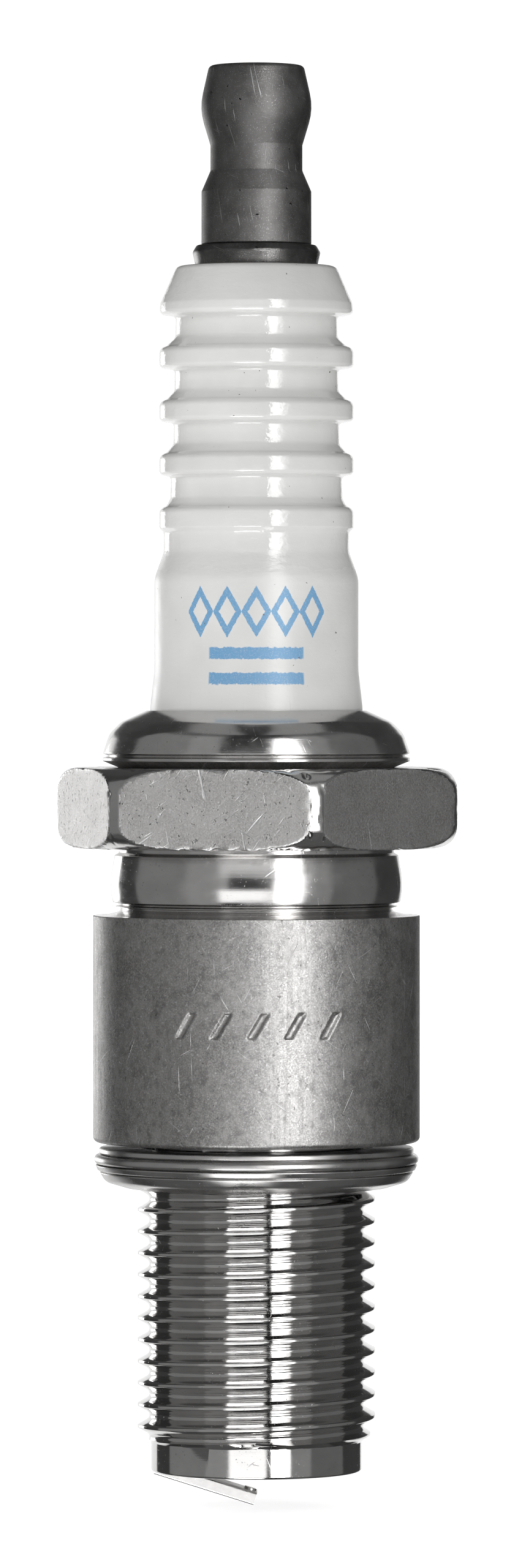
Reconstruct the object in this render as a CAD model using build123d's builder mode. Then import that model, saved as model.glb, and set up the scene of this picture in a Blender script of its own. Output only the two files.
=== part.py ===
from build123d import *
from math import cos, radians, sin, tan
import os

# Spark plug, M14 x 1.25, 19 mm reach. Millimetres.
# Origin: on the plug's axis, in the plane of the shell's gasket seat. +Z runs up to the terminal,
# -Z down the thread to the firing end. The ground electrode is welded on at -X.

# ---------------------------------------------------------------- driving dimensions
# Shell thread
THREAD_R = 6.875  # major radius of M14
THREAD_PITCH = 1.25
THREAD_DEPTH = 0.69
THREAD_TOP = -2.54  # the first crest starts just under the gasket
THREAD_BOTTOM = -16.75
THREAD_PHASE = -3.9  # height of a groove's middle on the +X side
TURNS = 14  # the cutter runs in above the first crest and out below the last
TURNS_BELOW = 12  # of them below THREAD_PHASE
REACH = 19.0  # seat to shell end
NECK_R = 6.12  # plain neck that the gasket rides on
PILOT_R = 6.08  # plain end below the thread
SHELL_MOUTH_R = 4.4

# Shell outside
COLLAR_R = 9.43
COLLAR_TOP = 13.07
HEX_ACROSS_FLATS = 20.8
HEX_CORNER_R = 11.8  # the corners are turned down to this radius
HEX_BOTTOM = 16.95
HEX_TOP = 21.6
HEX_TURN = -73.4  # direction of one corner, in degrees from +X
HEX_FACE_R = 10.3  # each end is flat out to this radius
HEX_SHOULDER_IN = 0.4  # the corners round off: the shoulder between two arcs, in from the corner
HEX_SHOULDER_UP = 0.48  # and up from the end
HEX_ROUND_UP = 1.45  # where the rounding starts
BUCKLE_R = 8.49  # where the buckle's two slopes would meet
CRIMP_R = 8.86
CRIMP_TOP = 24.94
CRIMP_LIP_R = 6.2

# Stamped slashes on the collar
SLASH_COUNT = 5
SLASH_STEP = 13.0  # degrees between neighbours
SLASH_FIRST = -89.4 - 2 * SLASH_STEP
SLASH_Z = 7.0
SLASH_HEIGHT = 1.36
SLASH_WIDTH = 0.34
SLASH_LEAN = 31.0  # degrees from upright
SLASH_DEPTH = 0.14
SLASH_TAPER = 12  # degrees, the stamp's draft
SLASH_CORNER_R = 0.05

# Shell inside
SHELL_BORE_R = 7.33
LOWER_BORE_R = 5.13
SEAT_SLOPE = tan(radians(30))
SEAT_Z = -9.1  # outer edge of the shell's inner ledge
LEDGE_R = 3.85
LEDGE_BOTTOM = -11.4

# Insulator
INSULATOR_TOP = 50.5
RIB_R = 5.6
RIB_COUNT = 5
RIB_SPACING = 3.075
RIB_GAP = 1.98  # height of a groove, from one rib's underside to the next one's top
HEAD_UNDERSIDE = 47.7
GROOVE_RADII = [4.65, 4.70, 4.76, 4.93]
NECK_WAIST_R = 5.34
BARREL_R = 5.88
BARREL_FOOT_R = 6.12
SHOULDER_R = 7.25
SHOULDER_TOP = 19.35
SHOULDER_BOTTOM = 10.6
NOSE_BODY_R = 5.05
NOSE_TIP_R = 2.35
NOSE_TIP_Z = -17.4
UPPER_BORE_R = 2.0
LOWER_BORE_TOP = 1.0
WIRE_BORE_R = 1.3

# Packing between insulator and shell
WASHER_THICKNESS = 0.46
RING_R = 6.725
RING_WIRE_R = 0.58
LOWER_RING_Z = 20.27
UPPER_RING_Z = 23.05

# Terminal
TERMINAL_R = 3.175  # the standard 6.35 mm terminal
NUT_BOTTOM = 51.73
NUT_TOP = 62.1
NUT_WAIST_R = 2.65
NUT_BORE_R = 2.02
NUT_BORE_TOP = 60.9
STUD_THREAD_R = 1.965  # M4
STUD_PITCH = 0.7
STUD_THREAD_DEPTH = 0.43
STUD_THREAD_FOOT = 52.42  # height where the stud's thread runs out, just above the flange
STUD_TOP = 60.2
FLANGE_TOP = 51.7
FLANGE_R = 3.66
SHANK_R = 1.9
GRIP_R = 1.75
GRIP_TOP = 27.0
SHANK_BOTTOM = 21.5

# Conductor column inside the insulator
UPPER_SEAL_TOP = 28.0
RESISTOR_TOP = 19.0
RESISTOR_BOTTOM = 7.5
ELECTRODE_R = 1.25
ELECTRODE_HEAD_R = 1.7
ELECTRODE_HEAD_TOP = 2.6
ELECTRODE_NECK_R = 1.15
ELECTRODE_TOP = 4.4
ELECTRODE_NOSE_TOP = -17.9
ELECTRODE_NOSE_R = 0.55
ELECTRODE_END = -18.65
COPPER_R = 0.7
COPPER_BOTTOM = -16.2
TIP_R = 0.3
TIP_ROOT = -18.25  # the tip is let into the electrode's nose
TIP_END = -19.3
BEAD_BOTTOM = -18.85

# Ground electrode
STRAP_SLOPE = 17.4  # degrees down towards the axis
STRAP_THICKNESS = 0.75
STRAP_WIDTH = 2.2
STRAP_END_X = 0.04  # upper edge of the cut-back end
STRAP_END_Z = -20.2
STRAP_ROOT_R = 6.0  # the root is dressed back to the shell's outside
PAD_R = 0.36
PAD_HEIGHT = 0.12
PAD_SET_BACK = 0.42  # from the strap's end to the pad's centre
STRAP_EDGE_ROUND = 0.14
PAD_EDGE_ROUND = 0.04
TIP_EDGE_ROUND = 0.03

# Gasket, hanging on the first thread crest
GASKET_TOP = -0.3
GASKET_HEIGHT = 2.31
GASKET_INNER_R = 6.6
GASKET_LOBE_R = 9.36
GASKET_FACE_R = 6.98  # inner edge of the flat that bears on the cylinder head

os.makedirs("parts", exist_ok=True)


# ---------------------------------------------------------------- helpers
def outline(*corners):
    """A closed outline of (radius, height, rounding) corners, as the current sketch's face."""
    places = [(corner[0], corner[1]) for corner in corners]
    roundings = [corner[2] if len(corner) > 2 else 0 for corner in corners]
    with BuildLine() as border:
        FilletPolyline(*places, radius=roundings, close=True)
    make_face(border.edges())


def thread_groove(crest_r, pitch, depth, middle, height):
    """The space that a thread cutter leaves: one helical 60 degree groove with a rounded root."""
    flank = tan(radians(30))
    proud = pitch * 0.12  # how far the cutter stands out of the crest
    half_mouth = pitch * 7 / 16
    apex_depth = half_mouth / flank
    half_width = half_mouth + proud * flank
    with BuildPart() as groove:
        with BuildLine() as path:
            Helix(pitch, height, crest_r, center=(0, 0, middle))
        with BuildSketch(Plane.XZ):
            outline(
                (crest_r + proud, middle + half_width),
                (crest_r - apex_depth, middle, apex_depth - depth),
                (crest_r + proud, middle - half_width),
            )
        sweep(path=path.line, is_frenet=True)
    return groove.part


def seat_height(radius, top):
    """Height of the sloped inner seat at a radius, for a seat whose outer edge is at top."""
    return top - (LOWER_BORE_R - radius) * SEAT_SLOPE


# ---------------------------------------------------------------- ground electrode
strap_end = Plane(
    origin=(STRAP_END_X, 0, STRAP_END_Z),
    x_dir=(cos(radians(STRAP_SLOPE)), 0, -sin(radians(STRAP_SLOPE))),
    z_dir=(0, -1, 0),
)
strap_length = (STRAP_END_X + PILOT_R + 1) / cos(radians(STRAP_SLOPE))

with BuildPart() as strap_stock:
    with BuildSketch(strap_end):
        Rectangle(strap_length, STRAP_THICKNESS, align=(Align.MAX, Align.MAX))
    extrude(amount=STRAP_WIDTH / 2, both=True)

with BuildPart() as ground_electrode:
    add(strap_stock.part)
    fillet(ground_electrode.edges().group_by(SortBy.LENGTH)[-1], STRAP_EDGE_ROUND)
    with BuildSketch(Plane.XY.offset(-REACH - 3)):
        Circle(STRAP_ROOT_R)
    extrude(amount=6, mode=Mode.INTERSECT)
ground_electrode.part.label = "ground_electrode"

pad_seat = Plane(
    origin=strap_end.from_local_coords((-PAD_SET_BACK, 0, 0)),
    z_dir=strap_end.y_dir,
)
with BuildPart() as ground_pad:
    with BuildSketch(pad_seat):
        Circle(PAD_R)
    extrude(amount=PAD_HEIGHT)
    fillet(ground_pad.edges().sort_by(Axis.Z)[-1], PAD_EDGE_ROUND)
ground_pad.part.label = "ground_electrode_pad"

# ---------------------------------------------------------------- metal shell
shell_thread = thread_groove(
    THREAD_R, THREAD_PITCH, THREAD_DEPTH, THREAD_PHASE - TURNS_BELOW * THREAD_PITCH, TURNS * THREAD_PITCH
)

with BuildPart() as metal_shell:
    with BuildSketch(Plane.XZ):
        outline(
            # thread and pilot
            (PILOT_R, -REACH, 0.15),
            (PILOT_R, THREAD_BOTTOM - 0.5, 0.1),
            (THREAD_R, THREAD_BOTTOM),
            (THREAD_R, THREAD_TOP),
            (NECK_R, THREAD_TOP + 0.2),
            (NECK_R, 0, 0.15),
            # collar
            (COLLAR_R, 0, 0.32),
            (COLLAR_R, COLLAR_TOP, 0.05),
            (8.75, COLLAR_TOP + 0.03, 0.1),
            (7.95, 13.3, 0.15),
            (7.8, 13.5),
            (8.22, 13.6, 0.02),
            (7.7, 13.72),
            # buckle, swollen where the shell was pressed down hot
            (8.31, 13.84, 0.06),
            (BUCKLE_R, 14.75, 4),
            (8.2, 16.55, 0.08),
            (7.95, 16.68, 0.1),
            (7.95, HEX_TOP, 0.1),
            # rim and crimped dome
            (CRIMP_R, 21.98, 0.05),
            (CRIMP_R, 22.16, 0.05),
            (8.48, 22.27),
            (CRIMP_R, 22.4, 0.1),
            (8.48, 23.55, 1.2),
            (7.8, 24.22, 1.0),
            (CRIMP_LIP_R, CRIMP_TOP, 0.12),
            # inside of the crimp
            (CRIMP_LIP_R, 24.35, 0.1),
            (6.95, 23.95, 0.3),
            (SHELL_BORE_R, 23.4, 0.4),
            # bore, inner ledge and mouth
            (SHELL_BORE_R, 9.6, 0.2),
            (LOWER_BORE_R, 7.4, 0.2),
            (LOWER_BORE_R, SEAT_Z),
            (LEDGE_R, seat_height(LEDGE_R, SEAT_Z)),
            (LEDGE_R, LEDGE_BOTTOM),
            (SHELL_MOUTH_R, LEDGE_BOTTOM - 0.5),
            (SHELL_MOUTH_R, -REACH, 0.12),
        )
    revolve(axis=Axis.Z)
    add(shell_thread, mode=Mode.SUBTRACT)
    for index in range(SLASH_COUNT):
        turn = radians(SLASH_FIRST + index * SLASH_STEP)
        stamp = Plane(
            origin=(COLLAR_R * cos(turn), COLLAR_R * sin(turn), SLASH_Z),
            x_dir=(-sin(turn), cos(turn), 0),
            z_dir=(cos(turn), sin(turn), 0),
        )
        lean = SLASH_HEIGHT / 2 * tan(radians(SLASH_LEAN))
        foot = SLASH_WIDTH / 2 / cos(radians(SLASH_LEAN))
        with BuildSketch(stamp.offset(-SLASH_DEPTH)):
            outline(
                (-lean - foot, -SLASH_HEIGHT / 2, SLASH_CORNER_R),
                (-lean + foot, -SLASH_HEIGHT / 2, SLASH_CORNER_R),
                (lean + foot, SLASH_HEIGHT / 2, SLASH_CORNER_R),
                (lean - foot, SLASH_HEIGHT / 2, SLASH_CORNER_R),
            )
        extrude(amount=1, taper=-SLASH_TAPER, mode=Mode.SUBTRACT)
    add(strap_stock.part, mode=Mode.SUBTRACT)

# The hexagon: flat faces, with turned corners rounded off at both ends.
with BuildPart() as hexagon:
    with BuildSketch(Plane.XY.offset(HEX_BOTTOM)):
        RegularPolygon(HEX_ACROSS_FLATS / 2, 6, major_radius=False, rotation=HEX_TURN)
        Circle(SHELL_BORE_R + 0.3, mode=Mode.SUBTRACT)
    extrude(amount=HEX_TOP - HEX_BOTTOM)
    with BuildSketch(Plane.XZ):
        with BuildLine():
            Polyline(
                (HEX_FACE_R, HEX_BOTTOM), (0, HEX_BOTTOM), (0, HEX_TOP), (HEX_FACE_R, HEX_TOP)
            )
            upper_round = TangentArc(
                (HEX_CORNER_R, HEX_TOP - HEX_ROUND_UP),
                (HEX_CORNER_R - HEX_SHOULDER_IN, HEX_TOP - HEX_SHOULDER_UP),
                tangent=(0, 1),
            )
            TangentArc(upper_round @ 1, (HEX_FACE_R, HEX_TOP), tangent=upper_round % 1)
            lower_round = TangentArc(
                (HEX_CORNER_R, HEX_BOTTOM + HEX_ROUND_UP),
                (HEX_CORNER_R - HEX_SHOULDER_IN, HEX_BOTTOM + HEX_SHOULDER_UP),
                tangent=(0, -1),
            )
            TangentArc(lower_round @ 1, (HEX_FACE_R, HEX_BOTTOM), tangent=lower_round % 1)
            Line(upper_round @ 0, lower_round @ 0)
        make_face()
    revolve(axis=Axis.Z, mode=Mode.INTERSECT)

with metal_shell:
    add(hexagon.part)
metal_shell.part.label = "metal_shell"

# ---------------------------------------------------------------- insulator
rib_corners = []
for index in range(RIB_COUNT - 1):
    underside = HEAD_UNDERSIDE - index * RIB_SPACING
    next_top = underside - RIB_GAP
    groove_r = GROOVE_RADII[index]
    rib_corners += [
        (RIB_R, underside, 0.28),
        (groove_r, underside - 0.13, 0.2),
        (groove_r, next_top + 0.62, 0.4),
        (RIB_R - 0.42, next_top + 0.17, 0.4),
        (RIB_R, next_top, 0.4),
    ]
last_underside = HEAD_UNDERSIDE - (RIB_COUNT - 1) * RIB_SPACING

with BuildPart() as insulator:
    with BuildSketch(Plane.XZ):
        outline(
            (UPPER_BORE_R, INSULATOR_TOP, 0.1),
            (4.6, INSULATOR_TOP, 0.45),
            (RIB_R - 0.06, 48.35, 0.5),
            *rib_corners,
            (RIB_R, last_underside, 0.18),
            (NECK_WAIST_R, last_underside - 0.28, 0.25),
            (NECK_WAIST_R, 34.0, 1.6),
            (BARREL_R, 32.5, 1.8),
            (BARREL_R, 27.2, 6),
            (BARREL_FOOT_R, 25.1, 1.5),
            (BARREL_FOOT_R, SHOULDER_TOP + 0.55, 0.15),
            (SHOULDER_R, SHOULDER_TOP, 0.25),
            (SHOULDER_R, SHOULDER_BOTTOM, 0.3),
            (NOSE_BODY_R, 8.3, 0.3),
            (NOSE_BODY_R, seat_height(NOSE_BODY_R, SEAT_Z + WASHER_THICKNESS), 0.05),
            (3.7, seat_height(3.7, SEAT_Z + WASHER_THICKNESS), 0.2),
            (3.55, -11.6, 0.5),
            (NOSE_TIP_R, NOSE_TIP_Z, 0.3),
            (WIRE_BORE_R, NOSE_TIP_Z, 0.1),
            (WIRE_BORE_R, LOWER_BORE_TOP),
            (UPPER_BORE_R, LOWER_BORE_TOP, 0.1),
        )
    revolve(axis=Axis.Z)
insulator.part.label = "insulator"

# ---------------------------------------------------------------- terminal stud and nut
stud_thread = thread_groove(
    STUD_THREAD_R, STUD_PITCH, STUD_THREAD_DEPTH, STUD_THREAD_FOOT, STUD_TOP - FLANGE_TOP
)
grip_rings = []
for index in range(5):
    ring_top = GRIP_TOP - 0.6 - index * 0.8
    grip_rings += [
        (GRIP_R, ring_top),
        (GRIP_R - 0.2, ring_top - 0.2),
        (GRIP_R - 0.2, ring_top - 0.4),
        (GRIP_R, ring_top - 0.6),
    ]

with BuildPart() as terminal_stud:
    with BuildSketch(Plane.XZ):
        outline(
            (0, STUD_TOP),
            (STUD_THREAD_R - 0.5, STUD_TOP),
            (STUD_THREAD_R, STUD_TOP - 0.5),
            (STUD_THREAD_R, FLANGE_TOP + 0.5),
            (STUD_THREAD_R - 0.5, FLANGE_TOP + 0.3),
            (STUD_THREAD_R - 0.5, FLANGE_TOP, 0.1),
            (FLANGE_R - 0.22, FLANGE_TOP, 0.2),
            (FLANGE_R + 0.03, FLANGE_TOP - 0.42, 0.25),
            (FLANGE_R - 0.14, INSULATOR_TOP, 0.12),
            (SHANK_R, INSULATOR_TOP),
            (SHANK_R, GRIP_TOP + 0.15),
            (GRIP_R, GRIP_TOP),
            *grip_rings,
            (GRIP_R, SHANK_BOTTOM + 0.4),
            (GRIP_R - 0.4, SHANK_BOTTOM),
            (0, SHANK_BOTTOM),
        )
    revolve(axis=Axis.Z)
    add(stud_thread, mode=Mode.SUBTRACT)
terminal_stud.part.label = "terminal_stud"

with BuildPart() as terminal_nut:
    with BuildSketch(Plane.XZ):
        outline(
            (0, NUT_TOP),
            (2.73, NUT_TOP, 0.45),
            # the bulb: two cones rounded into each other at the standard radius
            (3.283, 59.56, 3.36),
            (NUT_WAIST_R, 57.45),
            (NUT_WAIST_R, 55.98, 0.5),
            (TERMINAL_R, 54.78, 0.2),
            (TERMINAL_R, NUT_BOTTOM, 0.08),
            (NUT_BORE_R + 0.3, NUT_BOTTOM),
            (NUT_BORE_R, NUT_BOTTOM + 0.3),
            (NUT_BORE_R, NUT_BORE_TOP),
            (0, NUT_BORE_TOP + 0.5),
        )
    revolve(axis=Axis.Z)
terminal_nut.part.label = "terminal_nut"

# ---------------------------------------------------------------- centre electrode
with BuildPart() as electrode_sheath:
    with BuildSketch(Plane.XZ):
        outline(
            (COPPER_R, ELECTRODE_TOP),
            (ELECTRODE_NECK_R, ELECTRODE_TOP, 0.1),
            (ELECTRODE_NECK_R, ELECTRODE_HEAD_TOP),
            (ELECTRODE_HEAD_R, ELECTRODE_HEAD_TOP, 0.15),
            (ELECTRODE_HEAD_R, LOWER_BORE_TOP),
            (ELECTRODE_R, LOWER_BORE_TOP),
            (ELECTRODE_R, ELECTRODE_NOSE_TOP, 0.2),
            (ELECTRODE_NOSE_R, ELECTRODE_END),
            (TIP_R, ELECTRODE_END),
            (TIP_R, TIP_ROOT),
            (0, TIP_ROOT),
            (0, COPPER_BOTTOM),
            (COPPER_R, COPPER_BOTTOM + 0.7),
        )
    revolve(axis=Axis.Z)
electrode_sheath.part.label = "centre_electrode_sheath"

with BuildPart() as copper_core:
    with BuildSketch(Plane.XZ):
        outline(
            (0, ELECTRODE_TOP),
            (COPPER_R, ELECTRODE_TOP),
            (COPPER_R, COPPER_BOTTOM + 0.7),
            (0, COPPER_BOTTOM),
        )
    revolve(axis=Axis.Z)
copper_core.part.label = "centre_electrode_copper_core"

with BuildPart() as fine_wire_tip:
    with BuildSketch(Plane.XY.offset(TIP_END)):
        Circle(TIP_R)
    extrude(amount=TIP_ROOT - TIP_END)
    fillet(fine_wire_tip.edges().sort_by(Axis.Z)[0], TIP_EDGE_ROUND)
fine_wire_tip.part.label = "iridium_tip"

with BuildPart() as tip_weld_bead:
    with BuildSketch(Plane.XZ):
        outline(
            (TIP_R, ELECTRODE_END),
            (ELECTRODE_NOSE_R, ELECTRODE_END),
            (ELECTRODE_NOSE_R - 0.03, BEAD_BOTTOM + 0.05, 0.08),
            (TIP_R, BEAD_BOTTOM),
        )
    revolve(axis=Axis.Z)
tip_weld_bead.part.label = "tip_weld_bead"

# ---------------------------------------------------------------- glass seals and resistor
with BuildPart() as upper_glass_seal:
    with BuildSketch(Plane.XY.offset(RESISTOR_TOP)):
        Circle(UPPER_BORE_R)
    extrude(amount=UPPER_SEAL_TOP - RESISTOR_TOP)
    add(terminal_stud.part, mode=Mode.SUBTRACT)
upper_glass_seal.part.label = "upper_glass_seal"

with BuildPart() as resistor_core:
    with BuildSketch(Plane.XY.offset(RESISTOR_BOTTOM)):
        Circle(UPPER_BORE_R)
    extrude(amount=RESISTOR_TOP - RESISTOR_BOTTOM)
resistor_core.part.label = "resistor_core"

with BuildPart() as lower_glass_seal:
    with BuildSketch(Plane.XZ):
        outline(
            (0, RESISTOR_BOTTOM),
            (UPPER_BORE_R, RESISTOR_BOTTOM),
            (UPPER_BORE_R, LOWER_BORE_TOP, 0.1),
            (0, LOWER_BORE_TOP),
        )
    revolve(axis=Axis.Z)
    add(electrode_sheath.part, mode=Mode.SUBTRACT)
    add(copper_core.part, mode=Mode.SUBTRACT)
lower_glass_seal.part.label = "lower_glass_seal"

# ---------------------------------------------------------------- packing
with BuildPart() as upper_wire_ring:
    with BuildSketch(Plane.XZ):
        with Locations((RING_R, UPPER_RING_Z)):
            Circle(RING_WIRE_R)
    revolve(axis=Axis.Z)
upper_wire_ring.part.label = "upper_wire_ring"

with BuildPart() as lower_wire_ring:
    with BuildSketch(Plane.XZ):
        with Locations((RING_R, LOWER_RING_Z)):
            Circle(RING_WIRE_R)
    revolve(axis=Axis.Z)
lower_wire_ring.part.label = "lower_wire_ring"

with BuildPart() as talc_packing:
    with BuildSketch(Plane.XZ):
        outline(
            (BARREL_FOOT_R, LOWER_RING_Z + 0.2),
            (SHELL_BORE_R, LOWER_RING_Z + 0.2),
            (SHELL_BORE_R, UPPER_RING_Z - 0.2),
            (BARREL_FOOT_R, UPPER_RING_Z - 0.2),
        )
        with Locations((RING_R, LOWER_RING_Z), (RING_R, UPPER_RING_Z)):
            Circle(RING_WIRE_R, mode=Mode.SUBTRACT)
    revolve(axis=Axis.Z)
talc_packing.part.label = "talc_packing"

with BuildPart() as seat_washer:
    with BuildSketch(Plane.XZ):
        outline(
            (LEDGE_R + 0.1, seat_height(LEDGE_R + 0.1, SEAT_Z)),
            (LOWER_BORE_R - 0.08, seat_height(LOWER_BORE_R - 0.08, SEAT_Z)),
            (LOWER_BORE_R - 0.08, seat_height(LOWER_BORE_R - 0.08, SEAT_Z + WASHER_THICKNESS)),
            (LEDGE_R + 0.1, seat_height(LEDGE_R + 0.1, SEAT_Z + WASHER_THICKNESS)),
        )
    revolve(axis=Axis.Z)
seat_washer.part.label = "seat_washer"

# ---------------------------------------------------------------- gasket
# One folded strip: a top lip, a rolled lobe, the strip's cut edge and a rounded underside,
# with open seams between them and a hollow inside that closes up when the plug is tightened.
# Heights are measured down from the top lip.
with BuildPart() as gasket:
    with BuildSketch(Plane((0, 0, GASKET_TOP), x_dir=(1, 0, 0), z_dir=(0, -1, 0))):
        outline(
            (GASKET_INNER_R + 0.2, 0, 0.1),
            (9.08, 0, 0.12),
            (9.08, -0.34, 0.08),
            (8.7, -0.38),
            (GASKET_LOBE_R, -0.42, 0.24),
            (GASKET_LOBE_R, -0.95, 0.24),
            (8.7, -0.98),
            (9.3, -1.0, 0.04),
            (9.16, -1.32, 0.08),
            (8.9, -1.36),
            (9.05, -1.44, 0.05),
            (8.72, -1.98, 0.6),
            (7.6, -GASKET_HEIGHT, 0.5),
            (GASKET_FACE_R, -GASKET_HEIGHT),
            (GASKET_INNER_R, -GASKET_HEIGHT + 0.33, 0.1),
            (GASKET_INNER_R, -1.6, 0.1),
            # the hollow, open to the inside
            (7.0, -1.6, 0.1),
            (7.15, -1.98, 0.2),
            (8.2, -1.83, 0.3),
            (8.5, -1.28, 0.2),
            (GASKET_INNER_R, -1.23, 0.1),
        )
    revolve(axis=Axis.Z)
gasket.part.label = "gasket"

# ---------------------------------------------------------------- export
pieces = [
    metal_shell,
    insulator,
    terminal_stud,
    terminal_nut,
    upper_glass_seal,
    resistor_core,
    lower_glass_seal,
    electrode_sheath,
    copper_core,
    fine_wire_tip,
    tip_weld_bead,
    ground_electrode,
    ground_pad,
    upper_wire_ring,
    talc_packing,
    lower_wire_ring,
    seat_washer,
    gasket,
]
for piece in pieces:
    export_step(piece.part, f"parts/{piece.part.label}.step")
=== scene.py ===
from math import atan2, cos, pi, radians, sin, tan

import bmesh
import bpy
import numpy as np
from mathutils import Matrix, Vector


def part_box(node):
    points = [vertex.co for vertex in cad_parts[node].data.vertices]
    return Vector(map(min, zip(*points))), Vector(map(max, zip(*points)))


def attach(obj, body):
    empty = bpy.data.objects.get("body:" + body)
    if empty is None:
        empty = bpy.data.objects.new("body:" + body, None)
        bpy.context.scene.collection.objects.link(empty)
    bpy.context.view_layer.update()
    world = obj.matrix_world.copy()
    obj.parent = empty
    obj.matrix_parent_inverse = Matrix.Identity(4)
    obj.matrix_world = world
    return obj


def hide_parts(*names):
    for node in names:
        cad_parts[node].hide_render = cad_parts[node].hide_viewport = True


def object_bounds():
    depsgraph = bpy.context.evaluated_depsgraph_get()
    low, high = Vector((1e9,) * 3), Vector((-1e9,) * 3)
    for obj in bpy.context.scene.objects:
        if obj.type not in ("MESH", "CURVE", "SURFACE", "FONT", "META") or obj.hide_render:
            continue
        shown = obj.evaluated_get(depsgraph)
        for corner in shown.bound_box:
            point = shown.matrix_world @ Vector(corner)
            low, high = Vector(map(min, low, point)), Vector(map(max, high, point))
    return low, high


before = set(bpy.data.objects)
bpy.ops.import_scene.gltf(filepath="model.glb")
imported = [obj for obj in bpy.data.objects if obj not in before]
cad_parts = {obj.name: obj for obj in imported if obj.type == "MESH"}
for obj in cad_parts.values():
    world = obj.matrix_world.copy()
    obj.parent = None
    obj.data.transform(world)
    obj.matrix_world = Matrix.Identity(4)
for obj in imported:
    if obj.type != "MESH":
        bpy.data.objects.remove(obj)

# Looks of the spark plug. The plug's lengths are in millimetres, and MM turns them into metres.
# +Z runs up to the terminal, -Y faces the camera, and the ground electrode is at -X.
MM = 0.001
cad_low, cad_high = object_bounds()


def lowest(name):
    """Height of a CAD piece's underside."""
    return (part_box(name)[0] / MM)[2]


def highest(name):
    """Height of a CAD piece's top."""
    return (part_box(name)[1] / MM)[2]


# ---------------------------------------------------------------- shapes
ARC_STEP = radians(8)  # how finely a rounded corner is drawn
LONGEST_REACH = 0.98  # share of an edge that one rounding may take
JOIN_WITHIN, DROP_UNDER = 2e-4, 1e-4  # points this close are one, and edges this short are dropped


def turned_by(vector, angle):
    """A flat vector, turned by an angle."""
    return np.array([vector[0] * cos(angle) - vector[1] * sin(angle),
                     vector[0] * sin(angle) + vector[1] * cos(angle)])


def rounded(corners, closed=False):
    """Points along a profile of (radius, height, rounding) corners, with the corners rounded."""
    places = [np.array(c[:2], float) for c in corners]
    sizes = [c[2] if len(c) > 2 else 0.0 for c in corners]
    points = []
    count = len(places)
    for i in range(count):
        here, size = places[i], sizes[i]
        if size == 0 or (not closed and i in (0, count - 1)):
            points.append(here)
            continue
        before = places[i - 1] - here
        after = places[(i + 1) % count] - here
        before_length, after_length = np.linalg.norm(before), np.linalg.norm(after)
        before, after = before / before_length, after / after_length
        half = np.arccos(np.clip(before @ after, -1, 1)) / 2
        reach = min(size / tan(half), LONGEST_REACH * before_length, LONGEST_REACH * after_length)
        size = reach * tan(half)
        middle = here + (before + after) / np.linalg.norm(before + after) * size / sin(half)
        start, end = here + before * reach - middle, here + after * reach - middle
        turn = atan2(start[0] * end[1] - start[1] * end[0], start @ end)
        steps = max(2, int(abs(turn) / ARC_STEP) + 1)
        points += [middle + turned_by(start, turn * k / steps) for k in range(steps + 1)]
    return np.array(points)


def even_angles(count):
    """Angles of a number of even columns round the axis."""
    return np.arange(count) * 2 * pi / count


def around(profile, angles):
    """Grid of points: each profile point turned to each angle."""
    r, z = profile[:, 0][:, None], profile[:, 1][:, None]
    return np.stack([r * np.cos(angles), r * np.sin(angles), z + 0 * angles], axis=-1)


def sheet_faces(rows, columns, first=0, climb=0, closed=False):
    """Quads of a grid of rows by columns round the axis, with its points numbered from first.
    climb is how many rows a helical sheet rises in one turn. closed joins the last row to row 0."""
    index = np.arange(rows * columns).reshape(rows, columns) + first
    beside = np.roll(index, -1, axis=1)
    if climb:
        beside[:, -1] = index[np.minimum(np.arange(rows) + climb, rows - 1), 0]
    above, above_beside = np.roll(index, -1, axis=0), np.roll(beside, -1, axis=0)
    quads = np.stack([index, beside, above_beside, above], axis=-1)
    return (quads if closed else quads[:-1]).reshape(-1, 4)


def mesh_from_rows(name, body, grid, materials, sharp, closed=True, face_material=None, wear=None):
    """A piece from a grid of rows by columns round the axis. sharp is the angle of a hard edge."""
    faces = sheet_faces(*grid.shape[:2], closed=closed)
    mesh = bpy.data.meshes.new(name)
    mesh.from_pydata((grid.reshape(-1, 3) * MM).tolist(), [], faces.tolist())
    if wear is not None:
        layer = mesh.attributes.new("wear", "FLOAT", "POINT")
        layer.data.foreach_set("value", wear.reshape(-1).astype(np.float32))
    if face_material is not None:
        numbers = face_material.reshape(-1)[:len(faces)].astype(np.int32)
        mesh.polygons.foreach_set("material_index", numbers)
    return finish_mesh(mesh, name, body, materials, sharp)


def finish_mesh(mesh, name, body, materials, sharp):
    """Joins the points that meet, shades the mesh and makes it a piece that rides its body."""
    work = bmesh.new()
    work.from_mesh(mesh)
    bmesh.ops.remove_doubles(work, verts=work.verts, dist=JOIN_WITHIN * MM)
    bmesh.ops.dissolve_degenerate(work, edges=work.edges, dist=DROP_UNDER * MM)
    bmesh.ops.recalc_face_normals(work, faces=work.faces)
    work.to_mesh(mesh)
    work.free()
    for material in materials:
        mesh.materials.append(material)
    mesh.shade_smooth()
    mesh.set_sharp_from_angle(angle=radians(sharp))
    piece = bpy.data.objects.new(name, mesh)
    bpy.context.scene.collection.objects.link(piece)
    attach(piece, body)
    return piece


def smooth_step(x):
    """0 below 0, 1 above 1, and a soft step between them."""
    x = np.clip(x, 0, 1)
    return x * x * (3 - 2 * x)


def soft_min(a, b, blend):
    """The smaller of two values, with the change from one to the other rounded."""
    h = np.clip(0.5 + (b - a) / (2 * blend), 0, 1)
    return b + (a - b) * h - blend * h * (1 - h)


def signed_turn(angles, middle):
    """Angles measured from a middle one, between -pi and pi."""
    return np.mod(angles - middle + pi, 2 * pi) - pi


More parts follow.
